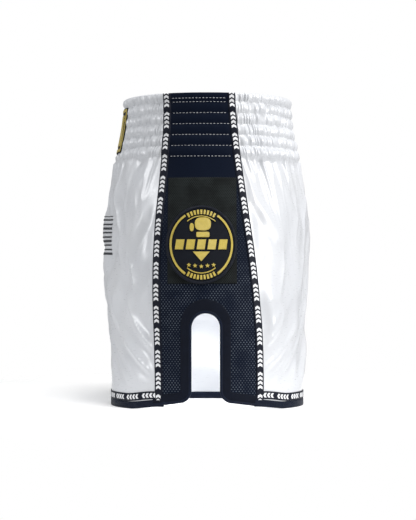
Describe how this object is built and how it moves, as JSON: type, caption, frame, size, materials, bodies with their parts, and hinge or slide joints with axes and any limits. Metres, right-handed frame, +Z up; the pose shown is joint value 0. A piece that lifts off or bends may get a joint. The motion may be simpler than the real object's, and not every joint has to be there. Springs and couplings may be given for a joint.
{
  "type": "boxing shorts",
  "caption": "Satin Thai-boxing shorts with wide elastic waist, navy mesh side panels, rounded side slits and taped hems.",
  "frame": {"origin": "middle of the shorts' bounding box at the level of the hems, which they stand on", "axes": "+Z up to the waist, front faces -Y, the wearer's left is +X"},
  "size_m": [0.4006, 0.2602, 0.38],
  "materials": {
    "satin_white": "satin polyester, soft sheen",
    "mesh_navy": "knitted polyester mesh with fine pale pinholes",
    "mesh_black": "fine knitted mesh",
    "binding_navy": "folded satin binding",
    "facing_navy": "plain woven facing",
    "woven_tape": "jacquard tape with a pale repeat",
    "badge_cloth": "embroidery twill",
    "overlock_thread": "overlocked thread edge",
    "gold_thread": "satin-stitched rayon thread",
    "casing_white": "woven polyester lining",
    "elastic": "knitted elastic",
    "print_black": "heat-transfer film",
    "eyelet_metal": "nickel-plated",
    "label_cloth": "woven label"
  },
  "bodies": {
    "shorts": {"front_panel_left": "satin_white", "back_panel_left": "satin_white", "side_panel_left": "mesh_navy", "mesh_patch_left": "mesh_black", "slit_binding_left": "binding_navy", "slit_facing_left": "facing_navy", "front_tape_left": "woven_tape", "back_tape_left": "woven_tape", "hem_band_left": "binding_navy", "hem_tape_left": "woven_tape", "inner_leg_gusset_left": "satin_white", "badge_ground_left": "badge_cloth", "badge_border_left": "overlock_thread", "badge_motif_left": "gold_thread", "front_panel_right": "satin_white", "back_panel_right": "satin_white", "side_panel_right": "mesh_navy", "mesh_patch_right": "mesh_black", "slit_binding_right": "binding_navy", "slit_facing_right": "facing_navy", "front_tape_right": "woven_tape", "back_tape_right": "woven_tape", "hem_band_right": "binding_navy", "hem_tape_right": "woven_tape", "inner_leg_gusset_right": "satin_white", "badge_ground_right": "badge_cloth", "badge_border_right": "overlock_thread", "badge_motif_right": "gold_thread", "waist_casing": "casing_white", "waist_badge": "gold_thread", "leg_print": "print_black", "crotch_strip": "satin_white", "drawcord_eyelets": "eyelet_metal", "label_tab": "label_cloth", "elastic_1": "elastic", "elastic_2": "elastic", "elastic_3": "elastic", "elastic_4": "elastic", "elastic_5": "elastic", "elastic_6": "elastic"},
    "label": {"care_label": "label_cloth"}
  },
  "joints": [
    {"name": "label_hinge", "type": "hinge", "parent": "shorts", "child": "label", "pos_m": [0, 0.09824, 0.371], "axis": [-1, 0, 0], "range_deg": [0, 100]}
  ]
}
